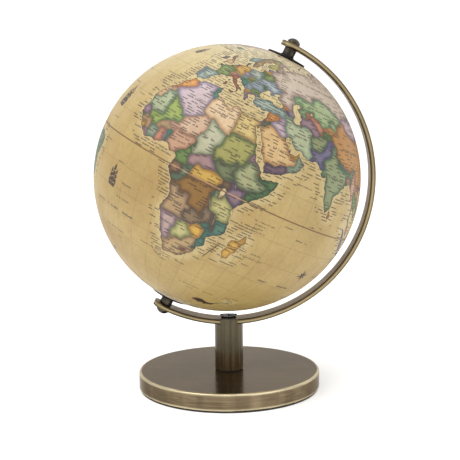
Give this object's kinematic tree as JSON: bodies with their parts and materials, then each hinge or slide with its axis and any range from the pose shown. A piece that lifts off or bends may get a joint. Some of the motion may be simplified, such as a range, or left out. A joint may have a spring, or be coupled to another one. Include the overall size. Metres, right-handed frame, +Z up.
{
  "type": "desk globe",
  "caption": "Globe with a printed parchment-style world map, spinning on a tilted axle in a C-shaped brass arm on a short column and a round weighted base.",
  "frame": {"origin": "middle of the underside of the base pad, on the table", "axes": "+Z up; the meridian arm lies in the XZ plane, with its closed side towards +X, and the north pole leans towards +X"},
  "size_m": [0.2111, 0.2, 0.2651],
  "materials": {
    "pad_foam": "matte foam",
    "antique_brass": "brushed antique brass under clear lacquer",
    "iron": "as cast",
    "zinc_steel": "zinc plated",
    "black_rubber": "matte",
    "dark_antique_brass": "satin antique brass",
    "gunmetal": "blackened satin",
    "brushed_brass": "brushed, rubbed bright at the edges",
    "bright_steel": "ground",
    "black_nylon": "matte",
    "shell_plastic": "matte",
    "map_paper_north": "printed parchment map under satin varnish",
    "map_paper_south": "printed parchment map under satin varnish",
    "nylon": "natural nylon",
    "black_metal": "satin black"
  },
  "bodies": {
    "stand": {"base_pad": "pad_foam", "base_cover": "antique_brass", "base_weight": "iron", "base_bolt": "zinc_steel", "base_bolt_washer": "zinc_steel", "column_gasket": "black_rubber", "column_tube": "dark_antique_brass", "column_foot_plug": "zinc_steel", "column_saddle_plug": "zinc_steel", "arm_screw": "gunmetal", "meridian_arm": "brushed_brass", "axle_rod": "bright_steel", "cap_nut_north": "gunmetal", "cap_nut_south": "gunmetal", "spacer_north": "gunmetal", "spacer_south": "gunmetal", "thrust_washer_north": "black_nylon", "thrust_washer_south": "black_nylon"},
    "ball": {"shell_north": "shell_plastic", "shell_south": "shell_plastic", "map_north": "map_paper_north", "map_south": "map_paper_south", "equator_ring": "shell_plastic", "bushing_north": "nylon", "bushing_south": "nylon", "pole_disc_north": "black_metal", "pole_disc_south": "black_metal"}
  },
  "joints": [
    {"name": "globe_spin", "type": "hinge", "parent": "stand", "child": "ball", "pos_m": [0, 0, 0.1616], "axis": [0.4509, 0, 0.8926], "continuous": true}
  ]
}
